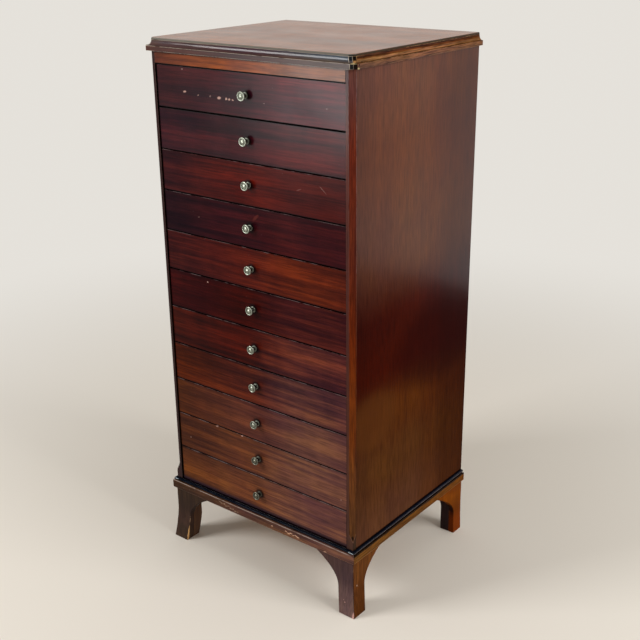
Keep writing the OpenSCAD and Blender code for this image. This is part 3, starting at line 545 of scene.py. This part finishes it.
brace_polish = polished_wood(
    "brace stain", "Z", (46, 27, 24), seed=42.3, ribbon=0.6, fine=0.4, rough=0.45, level=0.08, worn=(60, 40, 26),
    wear=0.4)
for hand in ("left", "right"):
    dress("foot_front_" + hand + "_face", "carcass", front_foot_polish)
    dress("foot_front_" + hand + "_side", "carcass", side_foot_polish)
    dress("foot_rear_" + hand + "_side", "carcass", side_foot_polish)
    dress("foot_rear_" + hand + "_brace", "carcass", brace_polish)

# ---- Drawer fronts ----
# Eleven fronts of ribbon-striped mahogany, cut from more than one board, so each has its own tone. They are
# polished like the rest, and the first is scuffed beside its knob. Their edges in the gaps carry painted shade,
# and each knob a painted shadow.

# Each front's specular level, then its colour at the left, near the middle and at the right.
front_tones = [
    (0.09, (45, 12, 20), (52, 9, 20), (84, 16, 26)),
    (0.08, (54, 14, 24), (50, 7, 17), (68, 13, 19)),
    (0.05, (54, 16, 20), (70, 12, 7), (57, 11, 12)),
    (0.04, (28, 7, 16), (48, 8, 16), (58, 13, 18)),
    (0.04, (56, 15, 16), (70, 18, 13), (85, 28, 13)),
    (0.03, (47, 7, 10), (50, 6, 4), (64, 21, 22)),
    (0.04, (56, 13, 7), (60, 10, 5), (89, 39, 35)),
    (0.04, (66, 20, 3), (76, 28, 17), (85, 47, 44)),
    (0.05, (74, 33, 9), (80, 39, 33), (96, 58, 52)),
    (0.05, (74, 35, 16), (89, 46, 30), (103, 65, 54)),
    (0.05, (86, 43, 17), (101, 56, 34), (102, 62, 56)),
]
pale, brown, dark = (200, 160, 148), (96, 40, 34), (14, 8, 10)
mark_y, mark_depth = -0.2, 0.02
# Scuffs, scratches and stains by drawer, and on the last a dark band at its foot that is painted shade above the
# bead: a colour, its share, and patches, each as its x, its height over the front's middle, its half width and half
# height, and its turn.
front_marks = {
    1: [(pale, 0.85, [(-0.158, -0.0067, 0.0052, 0.0018, 6), (-0.122, -0.0102, 0.0018, 0.0014, 0),
                      (-0.067, -0.0108, 0.0058, 0.0028, 5), (-0.0485, -0.0108, 0.003, 0.0026, 20),
                      (-0.041, -0.0112, 0.0026, 0.0022, 0), (-0.032, -0.0115, 0.0022, 0.0014, 0)]),
        ((150, 122, 116), 0.7, [(-0.090, -0.0095, 0.0024, 0.0016, 30), (-0.162, 0.0358, 0.0026, 0.0014, 0),
                                (0.0455, -0.0105, 0.0016, 0.001, 0), (0.191, -0.0062, 0.003, 0.0008, 0)])],
    3: [((150, 110, 104), 0.45, [(0.180, 0.016, 0.0115, 0.0009, -38), (0.124, 0.0085, 0.007, 0.0007, 20)])],
    4: [(brown, 0.6, [(0.015, 0.0224, 0.011, 0.0034, 42)]), (pale, 0.4, [(-0.138, -0.0013, 0.0016, 0.001, 0)])],
    6: [(pale, 0.6, [(-0.1235, 0.0321, 0.002, 0.0016, 0)])],
    10: [(pale, 0.6, [(-0.118, 0.0405, 0.004, 0.0014, 0), (-0.0456, 0.0397, 0.003, 0.0014, 0),
                      (-0.2015, -0.012, 0.0014, 0.0012, 0), (0.2178, -0.0206, 0.0012, 0.002, 0)])],
    11: [((34, 26, 38), 0.8, [(0.0, -0.0415, 5.0, 0.0085, 0)])],
}
knob_heights = []
for number, (level, left, middle, right) in enumerate(front_tones, 1):
    drawer = f"drawer_{number:02d}"
    low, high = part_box(drawer + "_front")
    centre = (low.z + high.z) / 2
    knob_heights.append(centre)
    # The dark patch round each knob is a painted shadow and reflection of the knob.
    marks = [(dark, 0.85, [((0.0, mark_y, centre), (0.0135, mark_depth, 0.0125), 0)])]
    for colour, share, patches in front_marks.get(number, ()):
        marks.append((colour, share, [((x, mark_y, centre + z), (wide, mark_depth, tall), turn)
                                      for x, z, wide, tall, turn in patches]))
    # The edges of each front that face into the gaps, and the arrises there, are painted near black as painted shade,
    # with a wider band at the foot of the last front; on the first two fronts the top arrises are dark as well. On
    # the others the pale worn colour on the top arrises is wear and a painted highlight.
    polish = polished_wood(
        f"drawer {number} polish", "X", ("X", [(-0.24, left), (-0.02, middle), (0.12, right), (0.24, right)], 0.12),
        seed=50.0 + 3.7 * number, ribbon=1.0 if number < 9 else 0.7, fine=0.25, rough=0.24, level=level,
        worn=(138, 118, 118), wear=0.5, patch=(0.42, 0.64), grime_and_shade=(8, 5, 7), marks=marks,
        facing=[("Y", 0.3, 0.6, 0.95, 0.0, (8, 5, 7))])
    dress(drawer + "_front", drawer, polish, width=0.0003,
          band=0.0024 if number == 11 else 0.0013, over=-1.0 if number < 3 else 1.0, under=-1.0)

# ---- Drawer linings ----
# The sides, back and bottom of each drawer are of thin bare wood, pale brown and a little dusty, dovetailed to
# the front.
lining = bare_wood("drawer lining", "Y", (176, 140, 96), (146, 108, 68), seed=71.0, stain=0.2)
for number in range(1, 12):
    drawer = f"drawer_{number:02d}"
    dress(drawer + "_box", drawer, lining, width=0.0003, band=0.0008)

# ---- Knobs ----
# Each knob is turned from brass, with a collar, a waisted neck and a head with a rim, a sunk ring and a domed
# button. It has gone dull and greenish, dark in the hollows with tarnish, and the neck is painted darker still as
# painted shade. The lower knobs are painted darker as a painted reflection. A shank goes through the front to a nut.


def aged_brass():
    """Dull brass, paler where it is handled, dark in its hollows with tarnish and painted shade, painted darker lower
    down.
    """
    finish = bpy.data.materials.new("aged brass")
    finish.use_nodes = True
    tree = finish.node_tree
    skin = tree.nodes["Principled BSDF"]
    place = shade(tree, "TexCoord", {}).outputs["Object"]
    mottle = shade(tree, "TexNoise", {"Vector": place, "Scale": 420.0, "Detail": 4.0}).outputs[0]
    hollow = shade(tree, "Attribute", {}, attribute_name="hollow").outputs["Fac"]
    metal = lay(tree, ease(tree, mottle, 0.35, 0.65), paint(112, 116, 104), paint(156, 160, 148))
    # Lower down the brass is painted darker, a painted reflection of darker surroundings in the lower knobs.
    height = shade(tree, "SeparateXYZ", {0: place}).outputs["Z"]
    metal = lay(tree, ease(tree, height, 0.2, 0.5, 0.75, 0.0), metal, paint(74, 70, 60))
    # The hollows are darkened with tarnish; the neck, darkest, is also painted shade.
    metal = lay(tree, ease(tree, hollow, 0.1, 1.0), metal, paint(18, 17, 16))
    tree.links.new(metal, skin.inputs["Base Color"])
    skin.inputs["Metallic"].default_value = 1.0
    tree.links.new(work(tree, "MULTIPLY_ADD", hollow, 0.3, ease(tree, mottle, 0.3, 0.7, 0.26, 0.38)),
                   skin.inputs["Roughness"])
    bump = shade(tree, "Bump", {"Height": mottle, "Strength": 0.15, "Distance": 0.0002})
    tree.links.new(bump.outputs[0], skin.inputs["Normal"])
    return finish


def knob_outline():
    """The knob's outline as radius, height out of the drawer front, and how dark the hollow is there."""
    # The darkness is tarnish in the hollows, and painted shade in the neck and behind the collar.
    line = [(0.0, -0.0225, 0.6), (0.0025, -0.0225, 0.6), (0.0025, 0.0, 0.9), (0.0060, 0.0, 0.9),
            (0.00625, 0.0003, 0.5), (0.00625, 0.0013, 0.3), (0.0060, 0.0016, 0.3)]
    for k in range(1, 9):
        turn = k / 8 * math.pi / 2
        line.append((0.0060 - 0.0027 * math.sin(turn), 0.0044 - 0.0028 * math.cos(turn), 0.4 + 0.6 * k / 8))
    line.append((0.0033, 0.0052, 1.0))
    for k in range(1, 9):
        turn = k / 8 * math.pi / 2
        line.append((0.0091 - 0.0058 * math.cos(turn), 0.0052 + 0.0062 * math.sin(turn) ** 1.4, 1.0 - 0.8 * k / 8))
    for k in range(1, 9):
        turn = k / 8 * math.pi
        line.append((0.0078 + 0.0013 * math.cos(turn), 0.0127 + 0.0013 * math.sin(turn), 0.0 if k < 6 else 0.2))
    line += [(0.0063, 0.0124, 0.5), (0.0055, 0.0124, 0.6), (0.0048, 0.0126, 0.5), (0.0047, 0.0131, 0.2)]
    for k in range(1, 9):
        turn = k / 8 * math.pi / 2
        line.append((0.0046 * math.cos(turn), 0.0131 + 0.0019 * math.sin(turn), 0.0))
    return line


brass = aged_brass()
steps, sharp = 72, math.radians(40)
drawer_face_y, nut_y = -0.2005, -0.1805
nut_radius, nut_thickness = 0.0047, 0.004
for number, height in enumerate(knob_heights, 1):
    drawer = f"drawer_{number:02d}"
    shape = bmesh.new()
    hollow = shape.verts.layers.float.new("hollow")
    rings = []
    for radius, out, darkness in knob_outline():
        ring = []
        for k in range(1 if radius < 1e-6 else steps):
            turn = 2 * math.pi * k / steps
            vert = shape.verts.new((radius * math.cos(turn), drawer_face_y - out, height + radius * math.sin(turn)))
            vert[hollow] = darkness
            ring.append(vert)
        rings.append(ring)
    for lower, upper in zip(rings, rings[1:]):
        for k in range(steps):
            corner = [lower[k % len(lower)], lower[(k + 1) % len(lower)], upper[(k + 1) % len(upper)],
                      upper[k % len(upper)]]
            shape.faces.new(list(dict.fromkeys(corner)))
    nut_place = Matrix.Translation((0.0, nut_y, height)) @ Matrix.Rotation(math.pi / 2, 4, "X")
    bmesh.ops.create_cone(shape, cap_ends=True, segments=6, radius1=nut_radius, radius2=nut_radius,
                          depth=nut_thickness, matrix=nut_place)
    bmesh.ops.recalc_face_normals(shape, faces=shape.faces)
    for f in shape.faces:
        f.smooth = True
    for e in shape.edges:
        e.smooth = not (e.is_manifold and e.calc_face_angle() > sharp)
    mesh = bpy.data.meshes.new(drawer + "_brass_knob")
    shape.to_mesh(mesh)
    shape.free()
    mesh.materials.append(brass)
    knob = bpy.data.objects.new(mesh.name, mesh)
    bpy.context.scene.collection.objects.link(knob)
    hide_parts(drawer + "_knob")
    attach(knob, drawer)

# ---- Studio ----
# A plain pale floor runs out to a pale surround. Soft lamps stand in for a large window in front and to the
# left, and for the pale walls that the polish mirrors.


def looked_at(tree):
    """1 for a ray from the camera, and for one that gloss or glass sends on, and 0 for light that spreads."""
    rays = shade(tree, "LightPath", {}).outputs
    return work(tree, "MAXIMUM", rays["Is Camera Ray"],
                work(tree, "MAXIMUM", rays["Is Glossy Ray"], rays["Is Transmission Ray"]))


floor_finish = bpy.data.materials.new("pale floor")
floor_finish.use_nodes = True
tree = floor_finish.node_tree
floor_skin = tree.nodes["Principled BSDF"]
floor_skin.inputs["Base Color"].default_value = paint(238, 231, 220)
floor_skin.inputs["Roughness"].default_value = 0.9
floor_skin.inputs["Specular IOR Level"].default_value = 0.1
place = shade(tree, "TexCoord", {}).outputs["Object"]
far = shade(tree, "VectorMath", {0: place}, operation="LENGTH").outputs["Value"]
glow = shade(tree, "Emission", {"Color": paint(240, 236, 229), "Strength": 0.9})
edge = shade(tree, "MixShader", {0: work(tree, "MULTIPLY", looked_at(tree), ease(tree, far, 0.5, 2.4)),
                                 1: floor_skin.outputs[0], 2: glow.outputs[0]})
tree.links.new(edge.outputs[0], tree.nodes["Material Output"].inputs["Surface"])
reach = 30
floor_mesh = bpy.data.meshes.new("floor")
floor_mesh.from_pydata([(-reach, -reach, 0), (reach, -reach, 0), (reach, reach, 0), (-reach, reach, 0)], [],
                       [(0, 1, 2, 3)])
floor_mesh.materials.append(floor_finish)
floor = bpy.data.objects.new("floor", floor_mesh)
bpy.context.scene.collection.objects.link(floor)

surround = bpy.data.worlds.new("pale surround")
bpy.context.scene.world = surround
surround.use_nodes = True
tree = surround.node_tree
tree.nodes["Background"].inputs["Color"].default_value = paint(238, 234, 227)
tree.links.new(work(tree, "MULTIPLY_ADD", looked_at(tree), 0.43, 0.45), tree.nodes["Background"].inputs["Strength"])


def lamp(name, place, target, wide, high, power, mirrored_only=False):
    """A soft lamp that the camera doesn't see. A mirrored one stands for a pale wall and lights only the gloss."""
    light = bpy.data.lights.new(name, "AREA")
    light.shape = "RECTANGLE"
    light.size, light.size_y = wide, high
    light.energy = power
    held = bpy.data.objects.new(name, light)
    held.location = place
    held.rotation_euler = (Vector(target) - Vector(place)).to_track_quat("-Z", "Y").to_euler()
    held.visible_camera = False
    held.visible_diffuse = not mirrored_only
    bpy.context.scene.collection.objects.link(held)


lamp("window", (-1.9, -2.6, 2.3), (0.0, -0.1, 0.3), wide=1.3, high=1.0, power=72)
lamp("far side", (2.9, 0.2, 2.2), (0.2, 0.0, 0.5), wide=1.6, high=1.6, power=56)
lamp("wall behind", (1.15, 1.35, 0.655), (1.15, 0.0, 0.655), wide=1.5, high=1.03, power=43, mirrored_only=True)
lamp("card in front", (-1.1, -2.05, 0.76), (-1.1, 0.0, 0.76), wide=0.8, high=0.56, power=25, mirrored_only=True)

# ---- Camera ----
# The camera stands in front and to the right, a little higher than the top, and looks down at the front right
# corner. It leans by less than a degree.
eye = Vector((1.3078, -1.6327, 1.34919))
yaw, pitch, roll = math.radians(38.47), math.radians(21.305), math.radians(-0.701)
view = Vector((-math.sin(yaw) * math.cos(pitch), math.cos(yaw) * math.cos(pitch), -math.sin(pitch)))
rightward = view.cross(Vector((0.0, 0.0, 1.0))).normalized()
upward = rightward.cross(view)
turned_right = math.cos(roll) * rightward + math.sin(roll) * upward
turned_up = math.cos(roll) * upward - math.sin(roll) * rightward
lens = bpy.data.cameras.new("camera")
lens.lens = 58.34
lens.sensor_width = 36.0
lens.clip_end = 200.0
camera = bpy.data.objects.new("camera", lens)
camera.matrix_world = Matrix.Translation(eye) @ Matrix((turned_right, turned_up, -view)).transposed().to_4x4()
bpy.context.scene.collection.objects.link(camera)
bpy.context.scene.camera = camera
bpy.context.scene.view_settings.view_transform = "Standard"
